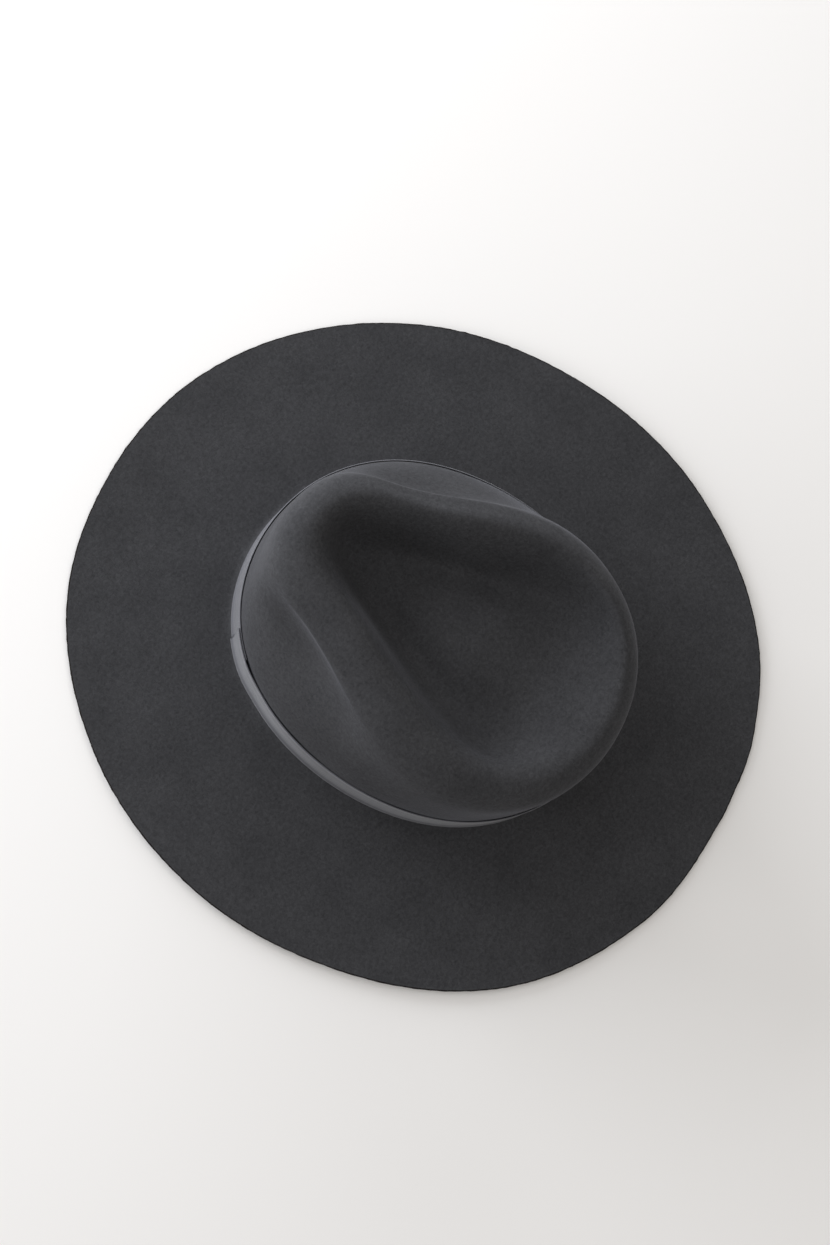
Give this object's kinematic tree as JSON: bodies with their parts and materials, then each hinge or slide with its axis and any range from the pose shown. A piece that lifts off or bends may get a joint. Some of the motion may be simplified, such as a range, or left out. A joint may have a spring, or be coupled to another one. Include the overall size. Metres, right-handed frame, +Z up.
{
  "type": "wide-brim fedora hat",
  "caption": "Wide-brim felt hat with a teardrop crown, two front pinches, a nearly flat raw-edged brim and a grosgrain ribbon round the foot of the crown.",
  "frame": {"origin": "middle of the brim's outline, at the level of the table that the brim rests on", "axes": "+Z up out of the crown, -Y to the front of the hat, +X to the wearer's left"},
  "size_m": [0.3388, 0.3684, 0.1062],
  "materials": {
    "felt": "brushed wool felt, matt",
    "ribbon": "ribbed grosgrain with a slight sheen"
  },
  "bodies": {
    "root": {"felt_body": "felt", "ribbon_band": "ribbon"}
  },
  "joints": []
}
